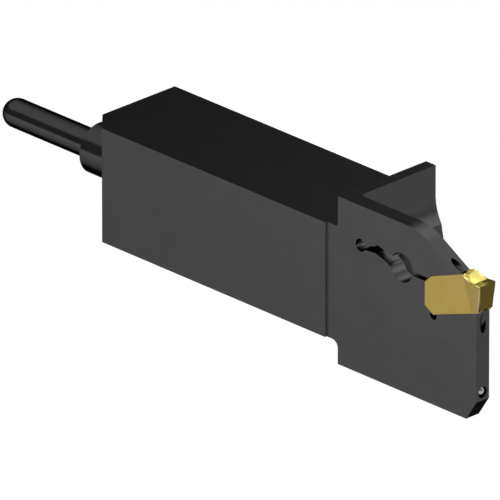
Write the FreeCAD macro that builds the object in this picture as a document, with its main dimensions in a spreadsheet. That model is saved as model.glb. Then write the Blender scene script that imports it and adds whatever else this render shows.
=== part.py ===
import FreeCAD, Part
import Sketcher
import math
import os
import re

# Parting and grooving tool with a square shank, a reinforced one-piece blade, a spring jaw
# that clamps a carbide insert, and coolant led in through a plug-in tube at the rear.
# Millimetres. The origin is the centre of the shank's lower seat face: +X runs to the cutting
# edge, +Y away from the blade's flush side, +Z up.

document = FreeCAD.newDocument("parting_blade_holder")
sheet = document.addObject("Spreadsheet::Sheet", "sizes")

drivingSizes = [
    # shank
    ("shank_width", 16.0),
    ("shank_depth", 16.0),
    ("seat_length", 44.1),
    ("neck_length", 2.0),
    ("side_relief", 0.3),
    ("rear_chamfer", 3.1),
    # head and blade
    ("head_rise", 4.2),
    ("head_drop", 3.2),
    ("wall_thickness", 1.75),
    ("blade_thickness", 2.3),
    ("blade_length", 25.05),
    ("flat_top", 12.3),
    ("nose_radius", 8.8),
    ("nose_slope", 30.0),
    ("toe_length", 1.8),
    ("toe_rise", 2.8),
    ("heel_fillet", 1.0),
    ("crown_fillet", 0.4),
    ("corner_fillet", 0.6),
    # reinforcement behind the blade
    ("work_clearance", 15.0),
    ("root_radius", 8.4),
    ("web_length", 7.6),
    ("ramp_lift", 0.1),
    ("ramp_radius", 7.0),
    ("ramp_sweep", 60.0),
    # spring slot, measured from the head's rear wall and down from its top
    ("end_hole_reach", 4.1),
    ("end_hole_drop", 5.5),
    ("end_hole_radius", 0.88),
    ("hump_radius", 0.5),
    ("crest_reach", 7.3),
    ("crest_drop", 5.17),
    ("crest_radius", 0.68),
    ("lobe_reach", 9.6),
    ("lobe_drop", 5.87),
    ("lobe_radius", 0.8),
    ("key_hole_reach", 11.55),
    ("key_hole_drop", 6.2),
    ("key_hole_radius", 2.0),
    ("kerf_width", 0.6),
    # insert
    ("edge_lead", 0.9),
    ("insert_tilt", 19.0),
    ("cutting_width", 2.8),
    ("insert_width", 2.5),
    ("insert_top", 1.72),
    ("insert_bottom", 3.55),
    ("rim_run", 1.2),
    ("rim_rise", 0.43),
    ("chip_wall_run", 1.7),
    ("chip_wall_radius", 5.0),
    ("insert_back", 10.5),
    ("insert_back_rise", 0.97),
    ("insert_foot", 11.58),
    ("insert_foot_drop", 2.15),
    ("top_chamfer_run", 1.6),
    ("foot_chamfer_run", 1.2),
    ("flank_foot", 1.62),
    ("flank_depth", 3.3),
    ("flank_chamfer", 0.3),
    ("head_taper_length", 2.9),
    ("rail_width", 1.6),
    ("rail_depth", 0.42),
    ("jaw_rail_end", 4.6),
    ("corner_radius", 0.2),
    ("bowl_length", 2.35),
    ("bowl_width", 1.95),
    ("bowl_depth", 1.95),
    ("bowl_lift", 1.9),
    ("bowl_setback", 0.75),
    ("seat_clearance", 0.02),
    ("seat_relief_radius", 0.6),
    # coolant ducts and their plugs
    ("tube_radius", 2.0),
    ("tube_reach", 22.95),
    ("tube_bore_radius", 0.9),
    ("collar_radius", 3.5),
    ("collar_reach", 5.8),
    ("socket_depth", 12.0),
    ("root_gap", 0.5),
    ("fit_clearance", 0.03),
    ("seal_section_radius", 0.5),
    ("seal_groove_slack", 0.3),
    ("seal_setback", 4.5),
    ("main_duct_radius", 2.0),
    ("cross_duct_radius", 1.0),
    ("blade_duct_radius", 0.6),
    ("jet_radius", 0.5),
    ("riser_reach", 1.4),
    ("upper_duct_drop", 1.65),
    ("upper_jet_dip", 5.0),
    ("lower_jet_drop", 9.95),
    ("lower_jet_lean", 22.0),
    ("feed_mouth_drop", 19.5),
    ("feed_rise", 12.0),
    ("blade_plug_radius", 0.75),
    ("side_plug_radius", 1.2),
    ("plug_clearance", 0.01),
    # how far a cut runs on past the faces that it opens through
    ("cut_margin", 1.0),
]

# Places that several pieces share, each worked out from the sizes above.
sharedPlaces = [
    ("rear_face", "-seat_length / 2"),
    ("head_face", "seat_length / 2 + neck_length"),
    ("head_top", "shank_depth + head_rise"),
    ("near_side", "-shank_width / 2 + side_relief"),
    ("far_side", "shank_width / 2"),
    ("blade_back", "near_side + blade_thickness"),
    ("blade_middle", "near_side + blade_thickness / 2"),
    ("blade_front", "head_face + blade_length"),
    ("edge_reach", "blade_front + edge_lead"),
    ("wall_face", "head_face + wall_thickness"),
    ("bore_level", "shank_depth / 2"),
    ("riser_place", "head_face + riser_reach"),
    ("nose_start", "head_face + flat_top"),
    ("socket_radius", "collar_radius + fit_clearance"),
    ("seal_floor", "collar_radius - 2 * seal_section_radius"),
    ("root_depth", "socket_depth - root_gap"),
    ("seal_inset", "root_depth - seal_setback"),
]


def fillSheet():
    """Every driving size and shared place gets one cell that is known by its name."""
    for row, (name, content) in enumerate(drivingSizes + sharedPlaces, start=1):
        text = str(content) if isinstance(content, float) else "=" + content
        sheet.set(f"A{row}", name)
        sheet.set(f"B{row}", text)
        sheet.setAlias(f"B{row}", name)
    document.recompute()


leastCut = 1e-4    # cubic millimetres that a cut has to take
touching = 1e-5    # millimetres between two points that count as one

sizeNames = [name for name, content in drivingSizes + sharedPlaces]
sizeWord = re.compile(r"\b(" + "|".join(sizeNames) + r")\b")


def bound(formula):
    """The formula as other objects read it, with each size looked up in the sheet."""
    return sizeWord.sub(r"sizes.\1", formula)


def value(formula):
    return float(sheet.evalExpression(formula))


def tie(target, path, formula):
    target.setExpression(path, bound(formula))


def originPlane(body, role):
    return [item for item in body.Origin.OriginFeatures if item.Role == role][0]


def newBody(name):
    body = document.addObject("PartDesign::Body", name)
    body.Label = name
    return body


def newSketch(body, name, plane, offset=None, shiftX=None, shiftY=None, turn=None):
    """A sketch on one of the body's own planes, moved along it and off it by formulas."""
    sketch = body.newObject("Sketcher::SketchObject", name)
    sketch.AttachmentSupport = [(originPlane(body, plane), "")]
    sketch.MapMode = "FlatFace"
    for path, formula in (("x", shiftX), ("y", shiftY), ("z", offset)):
        if formula:
            tie(sketch, "AttachmentOffset.Base." + path, formula)
    if turn:
        axis, angle = turn
        sketch.AttachmentOffset = FreeCAD.Placement(
            sketch.AttachmentOffset.Base, FreeCAD.Rotation(FreeCAD.Vector(*axis), 1))
        tie(sketch, "AttachmentOffset.Rotation.Angle", angle)
    return sketch


def pin(sketch, geometry, point, across, up):
    """Fixes one point of the sketch at the place that two formulas give."""
    for kind, formula in (("DistanceX", across), ("DistanceY", up)):
        number = sketch.addConstraint(
            Sketcher.Constraint(kind, -1, 1, geometry, point, value(formula)))
        tie(sketch, f"Constraints[{number}]", formula)


def arcThrough(start, end, radius):
    """A short arc from start to end that turns left for a positive radius, else right."""
    chord = end - start
    left = FreeCAD.Vector(-chord.y, chord.x, 0).normalize()
    size = abs(radius)
    sagitta = size - math.sqrt(size ** 2 - chord.Length ** 2 / 4)
    side = -1 if radius > 0 else 1
    return Part.Arc(start, (start + end) / 2 + left * side * sagitta, end)


def drawOutline(sketch, corners, arcs=None):
    """A closed outline. arcs gives the radius of the stretches that follow a numbered corner
    and are round, with a minus sign where the stretch turns right."""
    arcs = arcs or {}
    spots = [FreeCAD.Vector(value(across), value(up), 0) for across, up in corners]
    ends = []
    for number, start in enumerate(spots):
        end = spots[(number + 1) % len(spots)]
        if number in arcs:
            radius = value(arcs[number])
            stretch = sketch.addGeometry(arcThrough(start, end, radius), False)
            ends.append((stretch, 1, 2) if radius > 0 else (stretch, 2, 1))
            limit = sketch.addConstraint(Sketcher.Constraint("Radius", stretch, abs(radius)))
            tie(sketch, f"Constraints[{limit}]", arcs[number].lstrip("-"))
        else:
            stretch = sketch.addGeometry(Part.LineSegment(start, end), False)
            ends.append((stretch, 1, 2))
    for number, (stretch, first, last) in enumerate(ends):
        following, start, _ = ends[(number + 1) % len(ends)]
        sketch.addConstraint(Sketcher.Constraint("Coincident", stretch, last, following, start))
        pin(sketch, stretch, first, *corners[number])


def drawCircle(sketch, across, up, radius):
    middle = FreeCAD.Vector(value(across), value(up), 0)
    ring = sketch.addGeometry(
        Part.Circle(middle, FreeCAD.Vector(0, 0, 1), value(radius)), False)
    number = sketch.addConstraint(Sketcher.Constraint("Radius", ring, value(radius)))
    tie(sketch, f"Constraints[{number}]", radius)
    pin(sketch, ring, 3, across, up)


def drawSlot(sketch, first, second, radius):
    """A round-ended slot between two centres."""
    centres = [FreeCAD.Vector(value(across), value(up), 0) for across, up in (first, second)]
    size = value(radius)
    along = (centres[1] - centres[0]).normalize()
    heading = math.atan2(along.y, along.x)
    quarter = math.pi / 2
    side = FreeCAD.Vector(-along.y, along.x, 0) * size
    upright = FreeCAD.Vector(0, 0, 1)
    rear = Part.ArcOfCircle(
        Part.Circle(centres[0], upright, size), heading + quarter, heading + 3 * quarter)
    lower = Part.LineSegment(centres[0] - side, centres[1] - side)
    front = Part.ArcOfCircle(
        Part.Circle(centres[1], upright, size), heading - quarter, heading + quarter)
    upper = Part.LineSegment(centres[1] + side, centres[0] + side)
    sketch.addGeometry([rear, lower, front, upper], False)
    for stretch in range(4):
        sketch.addConstraint(
            Sketcher.Constraint("Tangent", stretch, 2, (stretch + 1) % 4, 1))
    number = sketch.addConstraint(Sketcher.Constraint("Radius", 0, size))
    tie(sketch, f"Constraints[{number}]", radius)
    sketch.addConstraint(Sketcher.Constraint("Equal", 0, 2))
    pin(sketch, 0, 3, *first)
    pin(sketch, 2, 3, *second)


def extrude(body, sketch, name, length, reverse=False, kind="PartDesign::Pad"):
    feature = body.newObject(kind, name)
    feature.Profile = sketch
    feature.Reversed = reverse
    tie(feature, "Length", length)
    sketch.Visibility = False
    document.recompute()
    return feature


def cutThrough(body, sketch, name, length, reverse=False):
    """A pocket that has to take material away, or the script stops."""
    before = body.Shape.Volume
    feature = extrude(body, sketch, name, length, reverse, "PartDesign::Pocket")
    if body.Shape.Volume > before - leastCut:
        raise RuntimeError(name + " cuts nothing")
    return feature


def drill(body, name, place, axis, angle, radius, depth):
    """A straight round hole from a place, whose axis is +Z turned about the given axis."""
    hole = body.newObject("PartDesign::SubtractiveCylinder", name)
    hole.Placement = FreeCAD.Placement(
        FreeCAD.Vector(), FreeCAD.Rotation(FreeCAD.Vector(*axis), 1))
    tie(hole, "Radius", radius)
    tie(hole, "Height", depth)
    for path, formula in zip("xyz", place):
        tie(hole, "Placement.Base." + path, formula)
    tie(hole, "Placement.Rotation.Angle", angle)
    document.recompute()
    return hole


def edgesAlongY(shape, across, up):
    """Names of the straight edges that run along Y through a given place in side view."""
    names = []
    for number, edge in enumerate(shape.Edges, start=1):
        first, last = edge.firstVertex().Point, edge.lastVertex().Point
        level = abs(first.x - last.x) < touching and abs(first.z - last.z) < touching
        if level and abs(first.x - across) < touching and abs(first.z - up) < touching:
            names.append(f"Edge{number}")
    return names


def edgesUpright(shape, across, along):
    names = []
    for number, edge in enumerate(shape.Edges, start=1):
        first, last = edge.firstVertex().Point, edge.lastVertex().Point
        upright = abs(first.x - last.x) < touching and abs(first.y - last.y) < touching
        if upright and abs(first.x - across) < touching and abs(first.y - along) < touching:
            names.append(f"Edge{number}")
    return names


def steepestEdge(shape, corner):
    """Name of the edge that falls most steeply from a given corner point."""
    falls = []
    for number, edge in enumerate(shape.Edges, start=1):
        ends = [edge.firstVertex().Point, edge.lastVertex().Point]
        top, foot = sorted(ends, key=lambda point: -point.z)
        if top.distanceToPoint(corner) < touching:
            falls.append(((top.z - foot.z) / edge.Length, f"Edge{number}"))
    return max(falls)[1]


def dressEdges(body, kind, name, edges, size, path):
    carrier = body.Tip
    feature = body.newObject(kind, name)
    feature.Base = (carrier, edges)
    tie(feature, path, size)
    document.recompute()
    return feature


def shankAndNeck(body):
    """Square shank, then the short neck whose near side is set back to the blade's side."""
    section = newSketch(body, "shank_section", "YZ_Plane", offset="rear_face")
    drawOutline(section, [
        ("-shank_width / 2", "0"), ("far_side", "0"),
        ("far_side", "shank_depth"), ("-shank_width / 2", "shank_depth")])
    extrude(body, section, "shank", "seat_length")
    dressEdges(body, "PartDesign::Chamfer", "stop_corner",
               edgesUpright(body.Shape, value("rear_face"), value("-shank_width / 2")),
               "rear_chamfer", "Size")
    neck = newSketch(body, "neck_section", "YZ_Plane", offset="seat_length / 2")
    drawOutline(neck, [
        ("near_side", "0"), ("far_side", "0"),
        ("far_side", "shank_depth"), ("near_side", "shank_depth")])
    extrude(body, neck, "neck", "neck_length")


def headWall(body):
    """Cross wall that stands above and below the shank and carries the blade."""
    section = newSketch(body, "wall_section", "YZ_Plane", offset="head_face")
    drawOutline(section, [
        ("near_side", "-head_drop"), ("far_side", "-head_drop"),
        ("far_side", "head_top"), ("near_side", "head_top")])
    extrude(body, section, "wall", "wall_thickness")
    heel = edgesAlongY(body.Shape, value("head_face"), 0)
    dressEdges(body, "PartDesign::Fillet", "heel_round", heel, "heel_fillet", "Radius")
    crown = edgesAlongY(body.Shape, value("head_face"), value("shank_depth"))
    dressEdges(body, "PartDesign::Fillet", "crown_round", crown, "crown_fillet", "Radius")


def blade(body):
    """Thin blade, with a flat top that rolls over into the sloping nose of the jaw."""
    slopeStart = "(nose_start + nose_radius * sin(nose_slope))"
    slopeLevel = "(head_top - nose_radius * (1 - cos(nose_slope)))"
    side = newSketch(body, "blade_side", "XZ_Plane", offset="-near_side")
    drawOutline(side, [
        ("head_face", "-head_drop"),
        ("blade_front - toe_length", "-head_drop"),
        ("blade_front", "-head_drop + toe_rise"),
        ("blade_front", f"{slopeLevel} - (blade_front - {slopeStart}) * tan(nose_slope)"),
        (slopeStart, slopeLevel),
        ("nose_start", "head_top"),
        ("head_face", "head_top")],
        arcs={4: "nose_radius"})
    extrude(body, side, "blade", "blade_thickness", reverse=True)
    corner = newSketch(body, "corner_section", "XY_Plane", offset="bore_level")
    drawOutline(corner, [
        ("wall_face", "blade_back"),
        ("wall_face + corner_fillet", "blade_back"),
        ("wall_face", "blade_back + corner_fillet")],
        arcs={1: "-corner_fillet"})
    extrude(body, corner, "corner", "head_top - bore_level")


def reinforcement(body):
    """Body behind the blade. Its top falls away from the wall in a round ramp, a bar of work
    turning about the cutting edge clears its front, and a round cutter ends it."""
    rampStart = "shank_depth + ramp_lift"
    rampEnd = "(wall_face + ramp_radius * (1 - cos(ramp_sweep)))"
    rampLevel = f"{rampStart} - ramp_radius * sin(ramp_sweep)"
    webFront = "(head_face + web_length + root_radius)"
    side = newSketch(body, "reinforcement_side", "XZ_Plane", offset="-blade_back")
    drawOutline(side, [
        ("head_face", "-head_drop"),
        (webFront, "-head_drop"),
        (webFront, f"{rampLevel} - ({webFront} - {rampEnd}) / tan(ramp_sweep)"),
        (rampEnd, rampLevel),
        ("wall_face", rampStart),
        ("head_face", rampStart)],
        arcs={3: "-ramp_radius"})
    extrude(body, side, "reinforcement", "far_side - blade_back", reverse=True)

    beyond = "far_side + cut_margin"
    work = newSketch(body, "work_section", "XY_Plane", offset="shank_depth")
    thin = "edge_reach - work_clearance"
    full = f"{thin} - root_radius"
    drawOutline(work, [
        ("edge_reach", "blade_back"), ("edge_reach", beyond), (full, beyond),
        (full, "blade_back + root_radius"), (thin, "blade_back")],
        arcs={3: "root_radius"})
    axisEnds = ("blade_back", "far_side")
    axis = work.addGeometry(Part.LineSegment(
        *[FreeCAD.Vector(value("edge_reach"), value(end), 0) for end in axisEnds]), True)
    for point, end in enumerate(axisEnds, start=1):
        pin(work, axis, point, "edge_reach", end)
    groove = body.newObject("PartDesign::Groove", "work_room")
    groove.Profile = work
    groove.ReferenceAxis = (work, ["Axis0"])
    groove.Angle = 360
    document.recompute()

    tail = newSketch(body, "cutter_section", "XY_Plane", offset="-head_drop - cut_margin")
    drawOutline(tail, [
        (f"{webFront} + cut_margin", "blade_back"), (f"{webFront} + cut_margin", beyond),
        ("head_face + web_length", beyond),
        ("head_face + web_length", "blade_back + root_radius"), (webFront, "blade_back")],
        arcs={3: "root_radius"})
    cutThrough(body, tail, "cutter_room", "head_top + head_drop + 2 * cut_margin", reverse=True)


def insertSeat(body):
    """Seat that leans back and down, with a raised rail on its floor and on the jaw above."""
    top = "insert_top + seat_clearance"
    floor = "-insert_bottom - seat_clearance"
    seat = newSketch(body, "seat_side", "XZ_Plane", offset="-near_side + cut_margin",
                     shiftX="edge_reach", shiftY="shank_depth", turn=((0, 0, 1), "insert_tilt"))
    drawOutline(seat, [
        ("2 * edge_lead", floor),
        ("2 * edge_lead", top),
        ("-insert_back + top_chamfer_run - seat_clearance", top),
        ("-insert_back - seat_clearance", "insert_back_rise + seat_clearance"),
        ("-insert_foot - seat_clearance", "-insert_foot_drop"),
        ("-insert_foot + foot_chamfer_run - seat_clearance", floor)])
    cutThrough(body, seat, "seat", "blade_thickness + 2 * cut_margin")

    relief = newSketch(body, "relief_side", "XZ_Plane", offset="-near_side + cut_margin",
                       shiftX="edge_reach", shiftY="shank_depth",
                       turn=((0, 0, 1), "insert_tilt"))
    drawCircle(relief, "-insert_foot + foot_chamfer_run", floor, "seat_relief_radius")
    cutThrough(body, relief, "corner_relief", "blade_thickness + 2 * cut_margin")

    railRoot = "(insert_bottom + seat_clearance + rail_depth / 2)"
    floorFront = f"(-edge_lead - {railRoot} * sin(insert_tilt)) / cos(insert_tilt)"
    for name, start, end, base, apex in (
            ("floor_rail", "-insert_foot + foot_chamfer_run + seat_relief_radius", floorFront,
             floor, f"{floor} + rail_depth"),
            ("jaw_rail", "-insert_back + top_chamfer_run", "-jaw_rail_end",
             top, f"{top} - rail_depth")):
        root = f"{base} - rail_depth / 2" if name == "floor_rail" else f"{base} + rail_depth / 2"
        section = newSketch(body, name + "_section", "YZ_Plane", shiftX="blade_middle",
                            shiftY=f"shank_depth + ({start}) * sin(insert_tilt)",
                            offset=f"edge_reach + ({start}) * cos(insert_tilt)",
                            turn=((-1, 0, 0), "insert_tilt"))
        drawOutline(section, [
            ("-rail_width / 2", root), ("rail_width / 2", root), ("rail_width / 2", base),
            ("0", apex), ("-rail_width / 2", base)])
        extrude(body, section, name, f"({end}) - ({start})")


def springSlot(body):
    """Slot that frees the jaw: an end hole, a humped run, the key hole and a saw kerf."""
    places = {}
    for name in ("end_hole", "crest", "lobe", "key_hole"):
        places[name] = (f"head_face + {name}_reach", f"head_top - {name}_drop")
    depth = "blade_thickness + 2 * cut_margin"
    for name in ("end_hole", "key_hole"):
        side = newSketch(body, name + "_side", "XZ_Plane", offset="-near_side + cut_margin")
        drawCircle(side, *places[name], name + "_radius")
        cutThrough(body, side, name, depth)
    for name, first, second, radius in (
            ("slot_hump", "end_hole", "crest", "hump_radius"),
            ("slot_fall", "crest", "lobe", "crest_radius"),
            ("slot_run", "lobe", "key_hole", "lobe_radius")):
        side = newSketch(body, name + "_side", "XZ_Plane", offset="-near_side + cut_margin")
        drawSlot(side, places[first], places[second], radius)
        cutThrough(body, side, name, depth)
    kerf = newSketch(body, "kerf_side", "XZ_Plane", offset="-near_side + cut_margin")
    seatRear = ("edge_reach - insert_back * cos(insert_tilt) - insert_back_rise * sin(insert_tilt)",
                "shank_depth - insert_back * sin(insert_tilt) + insert_back_rise * cos(insert_tilt)")
    kerfLevel = f"{seatRear[1]} + kerf_width / 2"
    drawSlot(kerf, (places["key_hole"][0], kerfLevel),
             (f"{seatRear[0]} + kerf_width", kerfLevel), "kerf_width / 2")
    cutThrough(body, kerf, "kerf", depth)


def ducts(body):
    """Coolant way: socket, main duct, cross duct, riser, the feed and the two jets."""
    spin = (0, 1, 0)
    mouth = "head_top - feed_mouth_drop"
    drill(body, "socket", ("rear_face", "0", "bore_level"),
          spin, "90", "socket_radius", "socket_depth")
    drill(body, "main_duct", ("rear_face", "0", "bore_level"),
          spin, "90", "main_duct_radius", "riser_place + cross_duct_radius - rear_face")
    drill(body, "cross_duct", ("riser_place", "far_side", "bore_level"),
          (1, 0, 0), "90", "cross_duct_radius", "far_side - blade_middle")
    drill(body, "side_plug_seat", ("riser_place", "far_side", "bore_level"),
          (1, 0, 0), "90", "side_plug_radius + plug_clearance", "2 * side_plug_radius")
    drill(body, "riser", ("riser_place", "blade_middle", "-head_drop"),
          spin, "0", "blade_duct_radius", "head_top + head_drop - upper_duct_drop")
    drill(body, "riser_plug_seat", ("riser_place", "blade_middle", "-head_drop"),
          spin, "0", "blade_plug_radius + plug_clearance", "2 * blade_plug_radius")
    drill(body, "feed", ("blade_front", "blade_middle", mouth),
          spin, "270 + feed_rise", "blade_duct_radius",
          "(blade_length - riser_reach) / cos(feed_rise)")
    drill(body, "feed_plug_seat",
          ("blade_front + blade_plug_radius * cos(feed_rise)", "blade_middle",
           f"{mouth} - blade_plug_radius * sin(feed_rise)"),
          spin, "270 + feed_rise", "blade_plug_radius + plug_clearance", "3 * blade_plug_radius")
    drill(body, "upper_jet", ("riser_place", "blade_middle", "head_top - upper_duct_drop"),
          spin, "90 + upper_jet_dip", "jet_radius", "blade_length")
    jetLead = "(2 * cut_margin)"
    drill(body, "lower_jet",
          (f"blade_front + {jetLead} * sin(lower_jet_lean)", "blade_middle",
           f"head_top - lower_jet_drop + {jetLead} * cos(lower_jet_lean)"),
          spin, "180 + lower_jet_lean", "jet_radius",
          f"{jetLead} + (feed_mouth_drop - lower_jet_drop)"
          " / (cos(lower_jet_lean) + sin(lower_jet_lean) * tan(feed_rise))")


def holderBody():
    body = newBody("holder_body")
    shankAndNeck(body)
    headWall(body)
    blade(body)
    reinforcement(body)
    insertSeat(body)
    springSlot(body)
    ducts(body)
    return body


def cuttingInsert():
    """Carbide insert in its own frame: the cutting edge's middle is the origin, +X points out
    of the seat along its floor."""
    body = newBody("cutting_insert")
    side = newSketch(body, "insert_side", "XZ_Plane", offset="cutting_width / 2")
    drawOutline(side, [
        ("0", "0"),
        ("-rim_run", "rim_rise"),
        ("-rim_run - chip_wall_run", "insert_top"),
        ("-insert_back + top_chamfer_run", "insert_top"),
        ("-insert_back", "insert_back_rise"),
        ("-insert_foot", "-insert_foot_drop"),
        ("-insert_foot + foot_chamfer_run", "-insert_bottom"),
        ("-flank_foot - flank_chamfer", "-insert_bottom"),
        ("-flank_foot", "-flank_depth")],
        arcs={1: "-chip_wall_radius"})
    extrude(body, side, "insert_block", "cutting_width", reverse=True)
    corners = [FreeCAD.Vector(0, side * value("cutting_width / 2"), 0) for side in (-1, 1)]
    dressEdges(body, "PartDesign::Fillet", "edge_corners",
               [steepestEdge(body.Shape, corner) for corner in corners],
               "corner_radius", "Radius")

    for name, sign in (("near", "-"), ("far", "")):
        plan = newSketch(body, name + "_taper_plan", "XY_Plane", offset="insert_top + cut_margin")
        rear = "-insert_foot - cut_margin"
        beyond = sign + "(cutting_width / 2 + cut_margin)"
        drawOutline(plan, [
            (rear, sign + "insert_width / 2"),
            ("-head_taper_length", sign + "insert_width / 2"),
            ("0", sign + "cutting_width / 2"),
            ("0", beyond), (rear, beyond)])
        cutThrough(body, plan, name + "_taper", "insert_top + insert_bottom + 2 * cut_margin")
        front = newSketch(body, name + "_relief_front", "YZ_Plane", offset="edge_lead")
        drawOutline(front, [
            (sign + "cutting_width / 2", "0"),
            (sign + "insert_width / 2", "-insert_bottom"),
            (sign + "insert_width / 2", "-insert_bottom - cut_margin"),
            (beyond, "-insert_bottom - cut_margin"), (beyond, "0")])
        cutThrough(body, front, name + "_relief", "insert_foot + 2 * cut_margin")

    for name, face, mouth, apex in (
            ("floor_groove", "-insert_bottom", "-insert_bottom - cut_margin",
             "-insert_bottom + rail_depth"),
            ("jaw_groove", "insert_top", "insert_top + cut_margin", "insert_top - rail_depth")):
        section = newSketch(body, name + "_section", "YZ_Plane", offset="edge_lead")
        drawOutline(section, [
            ("-rail_width / 2", mouth), ("rail_width / 2", mouth), ("rail_width / 2", face),
            ("0", apex), ("-rail_width / 2", face)])
        cutThrough(body, section, name, "insert_foot + 2 * cut_margin")

    bowl = body.newObject("PartDesign::SubtractiveEllipsoid", "chip_bowl")
    tie(bowl, "Radius1", "bowl_depth")
    tie(bowl, "Radius2", "bowl_length")
    tie(bowl, "Radius3", "bowl_width")
    tie(bowl, "Placement.Base.x", "-bowl_setback")
    tie(bowl, "Placement.Base.z", "bowl_lift")
    document.recompute()
    return body


def placeInsert(body):
    body.Placement = FreeCAD.Placement(
        FreeCAD.Vector(), FreeCAD.Rotation(FreeCAD.Vector(0, -1, 0), 1))
    tie(body, "Placement.Base.x", "edge_reach")
    tie(body, "Placement.Base.y", "blade_middle")
    tie(body, "Placement.Base.z", "shank_depth")
    tie(body, "Placement.Rotation.Angle", "insert_tilt")
    document.recompute()


def coolantTube():
    """Turned plug-in tube: a round-nosed pipe, a thick collar, and a root with a seal groove."""
    body = newBody("coolant_tube")
    half = newSketch(body, "tube_half", "XZ_Plane")
    tip = "-tube_reach + tube_radius - sqrt(tube_radius ^ 2 - tube_bore_radius ^ 2)"
    grooveFront = "seal_inset + seal_section_radius + seal_groove_slack"
    grooveRear = "seal_inset - seal_section_radius - seal_groove_slack"
    drawOutline(half, [
        ("root_depth", "tube_bore_radius"), ("root_depth", "collar_radius"),
        (grooveFront, "collar_radius"), (grooveFront, "seal_floor"),
        (grooveRear, "seal_floor"), (grooveRear, "collar_radius"),
        ("-collar_reach", "collar_radius"), ("-collar_reach", "tube_radius"),
        ("-tube_reach + tube_radius", "tube_radius"), (tip, "tube_bore_radius")],
        arcs={8: "tube_radius"})
    turning = body.newObject("PartDesign::Revolution", "turning")
    turning.Profile = half
    turning.ReferenceAxis = (half, ["H_Axis"])
    turning.Angle = 360
    tie(body, "Placement.Base.x", "rear_face")
    tie(body, "Placement.Base.z", "bore_level")
    document.recompute()
    return body


def tubeSeal():
    ring = document.addObject("Part::Torus", "tube_seal")
    tie(ring, "Radius1", "seal_floor + seal_section_radius + plug_clearance")
    tie(ring, "Radius2", "seal_section_radius")
    ring.Placement = FreeCAD.Placement(
        FreeCAD.Vector(), FreeCAD.Rotation(FreeCAD.Vector(0, 1, 0), 90))
    tie(ring, "Placement.Base.x", "rear_face + seal_inset")
    tie(ring, "Placement.Base.z", "bore_level")
    document.recompute()
    return ring


def ballPlug(name, place, radius):
    """Ball pressed into the mouth of a duct."""
    ball = document.addObject("Part::Sphere", name)
    tie(ball, "Radius", radius)
    for path, formula in zip("xyz", place):
        tie(ball, "Placement.Base." + path, formula)
    document.recompute()
    return ball


def checkAndWrite(pieces):
    for item in document.Objects:
        if {"Invalid", "Error"} & set(item.State):
            raise RuntimeError(f"{item.Name} failed: {item.State}")
    os.makedirs("parts", exist_ok=True)
    for piece in pieces:
        if piece.Shape.isNull() or not piece.Shape.isValid():
            raise RuntimeError(piece.Label + " has no valid solid")
        piece.Shape.exportStep(f"parts/{piece.Label}.step")
        print(piece.Label, len(piece.Shape.Solids), round(piece.Shape.Volume, 2))


fillSheet()
holder = holderBody()
insert = cuttingInsert()
placeInsert(insert)
checkAndWrite([
    holder, insert, coolantTube(), tubeSeal(),
    ballPlug("feed_plug",
             ("blade_front - blade_plug_radius * cos(feed_rise)", "blade_middle",
              "head_top - feed_mouth_drop + blade_plug_radius * sin(feed_rise)"),
             "blade_plug_radius"),
    ballPlug("riser_plug",
             ("riser_place", "blade_middle", "-head_drop + blade_plug_radius"),
             "blade_plug_radius"),
    ballPlug("side_plug",
             ("riser_place", "far_side - side_plug_radius", "bore_level"),
             "side_plug_radius")])
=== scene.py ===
import math

import bmesh
import bpy
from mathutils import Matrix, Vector


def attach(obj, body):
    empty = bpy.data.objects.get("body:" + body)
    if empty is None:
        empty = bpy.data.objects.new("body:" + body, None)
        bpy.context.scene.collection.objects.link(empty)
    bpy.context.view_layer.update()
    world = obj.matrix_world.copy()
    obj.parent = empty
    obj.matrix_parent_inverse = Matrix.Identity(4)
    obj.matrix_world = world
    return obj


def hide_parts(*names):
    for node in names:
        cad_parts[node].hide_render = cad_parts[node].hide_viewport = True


# Parting blade holder on a pale floor, seen from the front right and a little above.

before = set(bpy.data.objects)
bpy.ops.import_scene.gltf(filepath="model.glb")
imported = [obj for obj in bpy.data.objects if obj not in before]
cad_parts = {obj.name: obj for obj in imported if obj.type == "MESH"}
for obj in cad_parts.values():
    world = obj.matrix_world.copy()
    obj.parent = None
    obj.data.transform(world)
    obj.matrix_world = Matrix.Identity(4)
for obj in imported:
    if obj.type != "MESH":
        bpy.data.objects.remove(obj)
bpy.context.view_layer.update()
print("frame loaded:", ", ".join(sorted(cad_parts)))


def newMaterial(name):
    material = bpy.data.materials.new(name)
    material.use_nodes = True
    material.node_tree.nodes.clear()
    return material, material.node_tree


# A value's name is one of the node's sockets, with underscores for spaces, or a property.
def addNode(tree, kind, **values):
    node = tree.nodes.new("ShaderNode" + kind)
    for key, value in values.items():
        socket = key.replace("_", " ")
        if socket in node.inputs:
            node.inputs[socket].default_value = value
        else:
            setattr(node, key, value)
    return node


def link(tree, output, target):
    tree.links.new(output, target)


def objectPoint(tree, scale):
    coordinates = addNode(tree, "TexCoord")
    mapping = addNode(tree, "Mapping", Scale=scale)
    link(tree, coordinates.outputs["Object"], mapping.inputs["Vector"])
    return mapping.outputs["Vector"]


def alongX(tree):
    place = addNode(tree, "SeparateXYZ")
    link(tree, addNode(tree, "TexCoord").outputs["Object"], place.inputs["Vector"])
    return place.outputs["X"]


def noise(tree, scale, detail=3.0, roughness=0.55):
    texture = addNode(tree, "TexNoise", Scale=1.0, Detail=detail, Roughness=roughness)
    link(tree, objectPoint(tree, scale), texture.inputs["Vector"])
    return texture.outputs["Fac"]


# Noise stays mostly between 0.3 and 0.7, so that span is the usual one.
def mapped(tree, factor, low, high, start=0.3, end=0.7):
    span = addNode(tree, "MapRange", From_Min=start, From_Max=end, To_Min=low, To_Max=high)
    link(tree, factor, span.inputs["Value"])
    return span.outputs["Result"]


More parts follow.
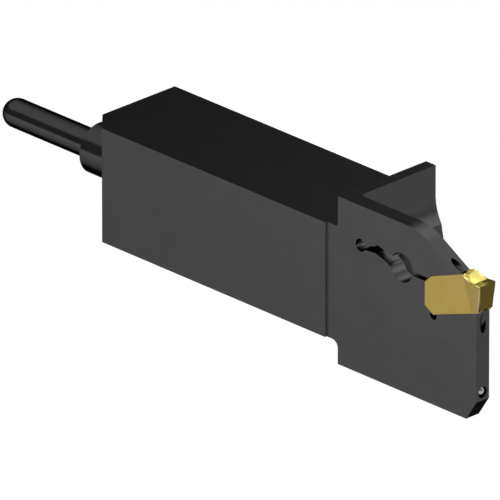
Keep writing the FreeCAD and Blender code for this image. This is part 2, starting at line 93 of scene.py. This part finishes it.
# Each colour is a plain one or another node's output. Sockets 6 and 7 are the mixed colours.
def blended(tree, factor, first, second):
    mix = addNode(tree, "Mix", data_type="RGBA")
    link(tree, factor, mix.inputs[0])
    for socket, colour in ((mix.inputs[6], first), (mix.inputs[7], second)):
        if isinstance(colour, tuple):
            socket.default_value = (*colour, 1)
        else:
            link(tree, colour, socket)
    return mix.outputs[2]


def bumped(tree, heights, distance, normal=None):
    bump = addNode(tree, "Bump", Strength=1.0, Distance=distance)
    link(tree, heights, bump.inputs["Height"])
    if normal:
        link(tree, normal, bump.inputs["Normal"])
    return bump.outputs["Normal"]


def finishMaterial(tree, colour, roughness, normal, **values):
    shader = addNode(tree, "BsdfPrincipled", **values)
    link(tree, colour, shader.inputs["Base Color"])
    link(tree, roughness, shader.inputs["Roughness"])
    link(tree, normal, shader.inputs["Normal"])
    output = addNode(tree, "OutputMaterial")
    link(tree, shader.outputs["BSDF"], output.inputs["Surface"])
    return shader


blackSteel = {
    "shank": (0.0540, 0.0540, 0.0544),   # painted light: the tone grows paler towards the blade, where the light falls stronger on the side
    "blade": (0.0625, 0.0625, 0.0629),
    "rear": -0.020,
    "front": 0.049,
    "cloud": (0.044, 0.044, 0.0445),
    "cloudShare": 0.25,
    "ledgeLightTone": (0.50, 0.50, 0.50),          # painted light on the narrow ledge face, which lies in shade
    "edgeTint": (0.13, 0.13, 0.13, 1),
    "roughness": (0.27, 0.33),
    "cloudScale": (220, 220, 220),
    "grindStretch": (150, 9000, 9000),   # fine lines along the shank
    "grindDepth": 0.00000012,
    "grainScale": (14000, 14000, 14000),
    "grainDepth": 0.00000008,
    "ledge": 0.02205,                    # where the shank ends on the blade's side
    "ledgeHalf": 0.00006,
    "facingHalf": 0.2,                   # how far a face may turn from facing forward
}


# Ground steel under black oxide: a slow change of tone, fine grind lines and a finer grain.
# A mask, if given, says where pale painted light is laid on the narrow ledge face.
def makeSteel(name, style, ledgeLightMask=None):
    material, tree = newMaterial(name)
    cloud = noise(tree, style["cloudScale"], detail=4)
    lines = noise(tree, style["grindStretch"], detail=2)
    grain = noise(tree, style["grainScale"], detail=1)
    # Painted light: the tone pales from the rear to the front, as if lit more strongly there.
    forward = mapped(tree, alongX(tree), 0, 1, style["rear"], style["front"])
    tone = blended(tree, forward, style["shank"], style["blade"])
    tone = blended(tree, mapped(tree, cloud, 0, style["cloudShare"]), tone, style["cloud"])
    if ledgeLightMask:
        tone = blended(tree, ledgeLightMask(tree, style), tone, style["ledgeLightTone"])
    roughness = mapped(tree, lines, *style["roughness"])
    normal = bumped(tree, lines, style["grindDepth"])
    normal = bumped(tree, grain, style["grainDepth"], normal)
    finishMaterial(tree, tone, roughness, normal, Metallic=1.0, Specular_Tint=style["edgeTint"])
    return material


# 1 where the value is within half of the place, else 0.
def near(tree, value, place, half):
    distance = addNode(tree, "Math", operation="SUBTRACT")
    link(tree, value, distance.inputs[0])
    distance.inputs[1].default_value = place
    size = addNode(tree, "Math", operation="ABSOLUTE")
    link(tree, distance.outputs[0], size.inputs[0])
    within = addNode(tree, "Math", operation="LESS_THAN")
    link(tree, size.outputs[0], within.inputs[0])
    within.inputs[1].default_value = half
    return within.outputs[0]


# Painted light: the narrow ledge face at the blade's side, which lies in shade, is painted pale.
def paintedLedgeLight(tree, style):
    coordinates = addNode(tree, "TexCoord")
    place = addNode(tree, "SeparateXYZ")
    facing = addNode(tree, "SeparateXYZ")
    link(tree, coordinates.outputs["Object"], place.inputs["Vector"])
    link(tree, coordinates.outputs["Normal"], facing.inputs["Vector"])
    atLedge = near(tree, place.outputs["X"], style["ledge"], style["ledgeHalf"])
    forward = near(tree, facing.outputs["X"], 1.0, style["facingHalf"])
    both = addNode(tree, "Math", operation="MULTIPLY")
    link(tree, atLedge, both.inputs[0])
    link(tree, forward, both.inputs[1])
    return both.outputs[0]


# The tube's fine lines run round it.
turnedSteel = dict(
    blackSteel, grindStretch=(9000, 90, 90), roughness=(0.15, 0.20), shank=(0.052, 0.052, 0.0525))

ballSteel = dict(
    blackSteel, grindStretch=(1200, 1200, 1200), roughness=(0.12, 0.2),
    shank=(0.34, 0.34, 0.35), blade=(0.34, 0.34, 0.35), cloud=(0.24, 0.24, 0.25),
    edgeTint=(0.9, 0.9, 0.9, 1))

sealRubber = {
    "dark": (0.012, 0.012, 0.012),
    "light": (0.020, 0.020, 0.021),
    "roughness": (0.5, 0.65),
    "grainScale": (2600, 2600, 2600),
    "grainDepth": 0.000001,
}


def makeRubber(name, style):
    material, tree = newMaterial(name)
    grain = noise(tree, style["grainScale"])
    tone = blended(tree, mapped(tree, grain, 0, 1), style["dark"], style["light"])
    normal = bumped(tree, grain, style["grainDepth"])
    finishMaterial(tree, tone, mapped(tree, grain, *style["roughness"]), normal)
    return material


def dress(node, material):
    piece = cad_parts[node]
    piece.data.materials.clear()
    piece.data.materials.append(material)


dress("holder_body", makeSteel("blackSteel", blackSteel, paintedLedgeLight))
dress("coolant_tube", makeSteel("turnedSteel", turnedSteel))
dress("tube_seal", makeRubber("sealRubber", sealRubber))
ball = makeSteel("ballSteel", ballSteel)
for plug in ("feed_plug", "riser_plug", "side_plug"):
    dress(plug, ball)
print("steel, rubber and plugs")


# One coat whose tone is painted by face: a painted highlight on the pressed rake and on the
# honed rims, painted shade on the ground flank, the land and the tapered sides.
goldCoat = {
    "finishes": {
        # name: (deep tone, bright tone, lowest roughness, highest roughness)
        "pressedSide": ((0.243, 0.182, 0.047), (0.264, 0.198, 0.053), 0.36, 0.44),
        # Painted shade: the tapered sides, turned a little away, a shade darker.
        "shadedTaperedSide": ((0.223, 0.163, 0.049), (0.244, 0.177, 0.056), 0.36, 0.44),
        # Painted shade: the flank darkened to a smoky olive.
        "shadedFlank": ((0.071, 0.052, 0.011), (0.095, 0.072, 0.016), 0.30, 0.40),
        # Painted highlight: the rake painted bright.
        "highlitRake": ((0.832, 0.697, 0.187), (0.936, 0.811, 0.239), 0.34, 0.42),
        # Painted shade: the land at the front of the rake darkened to olive.
        "shadedLand": ((0.176, 0.154, 0.022), (0.220, 0.193, 0.033), 0.30, 0.40),
        # Painted highlight: the rims painted pale.
        "highlitRim": ((0.270, 0.228, 0.115), (0.310, 0.265, 0.135), 0.30, 0.40),
    },
    "edgeTint": (0.8, 0.75, 0.6, 1),
    "grainScale": (8000, 8000, 8000),
    "grainDepth": 0.0000005,
    "cloudScale": (420, 420, 420),
    "mergeWithin": 0.000001,
    "flatWithin": 0.5,      # degrees; smaller turns are one flat face
    "rim": 0.00014,
    "rimSegments": 2,
    "sharpEdge": 22,        # degrees between two faces
    "rimFacing": 0.98,      # how squarely a face must look its way, 1 being straight
    "flankFacing": 0.9,
    "rakeFacing": 0.12,
    "rakeStart": 0.0440,
    "landFacing": 0.97,
    "landStart": 0.0483,
    "taperFacing": 0.9,
    "sideFacing": 0.9999,   # the tapered sides turn a little away
}


def makeGold(name, deep, bright, low, high):
    material, tree = newMaterial(name)
    cloud = noise(tree, goldCoat["cloudScale"], detail=4)
    grain = noise(tree, goldCoat["grainScale"], detail=2)
    tone = blended(tree, mapped(tree, cloud, 0, 1), deep, bright)
    normal = bumped(tree, grain, goldCoat["grainDepth"])
    finishMaterial(
        tree, tone, mapped(tree, grain, low, high), normal,
        Metallic=1.0, Specular_Tint=goldCoat["edgeTint"])
    return material


# Each face's painted tone, shade or highlight, by which way it faces and where it lies.
def goldFinishOf(face):
    middle = face.calc_center_median()
    facing = face.normal
    if facing.x > goldCoat["flankFacing"]:
        return "shadedFlank"
    if facing.z > goldCoat["landFacing"] and middle.x > goldCoat["landStart"]:
        return "shadedLand"
    if facing.z > goldCoat["rakeFacing"] and middle.x > goldCoat["rakeStart"]:
        return "highlitRake"
    if goldCoat["taperFacing"] < abs(facing.y) < goldCoat["sideFacing"]:
        return "shadedTaperedSide"
    return "pressedSide"


# The rims run round the outline of both sides.
def isRim(edge):
    sides = [face for face in edge.link_faces if abs(face.normal.y) > goldCoat["rimFacing"]]
    return len(sides) == 1 and edge.calc_face_angle() > math.radians(goldCoat["sharpEdge"])


def buildInsert():
    names = list(goldCoat["finishes"])
    mesh = bmesh.new()
    mesh.from_mesh(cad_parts["cutting_insert"].data)
    bmesh.ops.remove_doubles(mesh, verts=mesh.verts, dist=goldCoat["mergeWithin"])
    bmesh.ops.dissolve_limit(
        mesh, angle_limit=math.radians(goldCoat["flatWithin"]),
        verts=mesh.verts, edges=mesh.edges)
    for face in mesh.faces:
        face.material_index = names.index(goldFinishOf(face))
    edges = [edge for edge in mesh.edges if isRim(edge)]
    rims = bmesh.ops.bevel(
        mesh, geom=edges, affect="EDGES", offset=goldCoat["rim"], offset_type="OFFSET",
        segments=goldCoat["rimSegments"], profile=0.5, material=-1, clamp_overlap=False)
    # The bevelled rim faces get the pale painted highlight.
    for face in rims["faces"]:
        face.material_index = names.index("highlitRim")
        face.smooth = True
    data = bpy.data.meshes.new("coatedInsert")
    mesh.to_mesh(data)
    mesh.free()
    for name, values in goldCoat["finishes"].items():
        data.materials.append(makeGold(name, *values))
    insert = bpy.data.objects.new("coatedInsert", data)
    bpy.context.scene.collection.objects.link(insert)
    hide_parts("cutting_insert")
    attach(insert, "root")
    return len(edges)


print("coated insert:", buildInsert(), "edges honed")


stageStyle = {
    "floorLevel": -0.030,
    "floorSize": 6.0,
    "floorColour": (0.86, 0.86, 0.86),
    "floorGlow": 0.36,
    "ambient": 0.30,
    "wallRadius": 1.0,     # a grey wall all round, which only the metal's gloss sees
    "wallTop": 0.55,
    "wallColour": (0.4, 0.4, 0.4),
    "wallSides": 48,
}


# 1 for rays from the camera and for reflected and refracted ones, else 0.
def seenDirectly(tree):
    path = addNode(tree, "LightPath")
    total = path.outputs["Is Camera Ray"]
    for name in ("Is Glossy Ray", "Is Transmission Ray"):
        larger = addNode(tree, "Math", operation="MAXIMUM")
        link(tree, total, larger.inputs[0])
        link(tree, path.outputs[name], larger.inputs[1])
        total = larger.outputs[0]
    return total


def buildFloor(style):
    mesh = bmesh.new()
    bmesh.ops.create_grid(mesh, x_segments=1, y_segments=1, size=style["floorSize"] / 2)
    bmesh.ops.translate(mesh, verts=mesh.verts, vec=(0, 0, style["floorLevel"]))
    data = bpy.data.meshes.new("floor")
    mesh.to_mesh(data)
    mesh.free()
    floor = bpy.data.objects.new("floor", data)
    bpy.context.scene.collection.objects.link(floor)
    material, tree = newMaterial("paleFloor")
    matt = addNode(tree, "BsdfDiffuse", Color=(*style["floorColour"], 1))
    glow = addNode(tree, "Emission", Color=(1, 1, 1, 1))
    level = addNode(tree, "Math", operation="MULTIPLY")
    link(tree, seenDirectly(tree), level.inputs[0])
    level.inputs[1].default_value = style["floorGlow"]
    link(tree, level.outputs[0], glow.inputs["Strength"])
    both = addNode(tree, "AddShader")
    link(tree, matt.outputs[0], both.inputs[0])
    link(tree, glow.outputs[0], both.inputs[1])
    output = addNode(tree, "OutputMaterial")
    link(tree, both.outputs[0], output.inputs["Surface"])
    data.materials.append(material)


def buildWall(style):
    mesh = bmesh.new()
    bmesh.ops.create_circle(
        mesh, cap_ends=False, radius=style["wallRadius"], segments=style["wallSides"])
    bmesh.ops.translate(mesh, verts=mesh.verts, vec=(0, 0, style["floorLevel"]))
    raised = bmesh.ops.extrude_edge_only(mesh, edges=mesh.edges)["geom"]
    top = [vert for vert in raised if isinstance(vert, bmesh.types.BMVert)]
    bmesh.ops.translate(mesh, verts=top, vec=(0, 0, style["wallTop"] - style["floorLevel"]))
    data = bpy.data.meshes.new("greyWall")
    mesh.to_mesh(data)
    mesh.free()
    material, tree = newMaterial("greyWall")
    matt = addNode(tree, "BsdfDiffuse", Color=(*style["wallColour"], 1))
    output = addNode(tree, "OutputMaterial")
    link(tree, matt.outputs[0], output.inputs["Surface"])
    data.materials.append(material)
    wall = bpy.data.objects.new("greyWall", data)
    bpy.context.scene.collection.objects.link(wall)
    wall.visible_camera = False
    wall.visible_diffuse = False
    wall.visible_shadow = False


def buildWorld(style):
    world = bpy.data.worlds.new("paleRoom")
    bpy.context.scene.world = world
    world.use_nodes = True
    tree = world.node_tree
    tree.nodes.clear()
    background = addNode(tree, "Background", Color=(1, 1, 1, 1))
    level = addNode(tree, "MapRange", To_Min=style["ambient"], To_Max=1.0)
    link(tree, seenDirectly(tree), level.inputs["Value"])
    link(tree, level.outputs["Result"], background.inputs["Strength"])
    output = addNode(tree, "OutputWorld")
    link(tree, background.outputs[0], output.inputs["Surface"])


lamps = {
    # name: (azimuth, elevation, distance, size, watts)
    "sideLamp": (-98, 10, 0.60, 0.34, 6.0),
    "backLamp": (110, 35, 0.60, 0.34, 0.62),
    "topLamp": (90, 60, 0.60, 0.34, 0.12),
    "frontLamp": (43, 21, 0.60, 0.34, 0.55),
}
aim = Vector((0.012, 0, 0.008))   # the middle of the part, which the lamps look at


# The direction from the part towards a lamp or the camera.
def fromAngles(azimuth, elevation):
    turn, rise = math.radians(azimuth), math.radians(elevation)
    level = math.cos(rise)
    return Vector((level * math.cos(turn), level * math.sin(turn), math.sin(rise)))


def buildLamp(name, azimuth, elevation, distance, size, watts):
    lamp = bpy.data.lights.new(name, "AREA")
    lamp.shape = "DISK"
    lamp.size = size
    lamp.energy = watts
    holder = bpy.data.objects.new(name, lamp)
    direction = fromAngles(azimuth, elevation)
    holder.location = aim + direction * distance
    holder.rotation_euler = direction.to_track_quat("Z", "Y").to_euler()
    bpy.context.scene.collection.objects.link(holder)


photoView = {
    "azimuth": -44.133,
    "elevation": 24.277,
    "distance": 2.8111,      # far off, as the photo is almost without perspective
    "aside": 0.000068,       # how far the middle of the frame lies off the origin
    "rise": 0.002287,
    "frameWidth": 0.064068,
    "sensor": 36.0,
    "clip": (0.05, 50),
}


def buildCamera(view):
    lens = bpy.data.cameras.new("photoCamera")
    lens.sensor_width = view["sensor"]
    lens.lens = view["sensor"] * view["distance"] / view["frameWidth"]
    lens.clip_start, lens.clip_end = view["clip"]
    camera = bpy.data.objects.new("photoCamera", lens)
    direction = fromAngles(view["azimuth"], view["elevation"])
    sideways = Vector((0, 0, 1)).cross(direction).normalized()
    centre = sideways * view["aside"] + direction.cross(sideways) * view["rise"]
    camera.location = centre + direction * view["distance"]
    camera.rotation_euler = direction.to_track_quat("Z", "Y").to_euler()
    bpy.context.scene.collection.objects.link(camera)
    bpy.context.scene.camera = camera


buildFloor(stageStyle)
buildWall(stageStyle)
buildWorld(stageStyle)
for lampName, place in lamps.items():
    buildLamp(lampName, *place)
buildCamera(photoView)
bpy.context.scene.view_settings.view_transform = "Standard"
print("stage, light and camera")
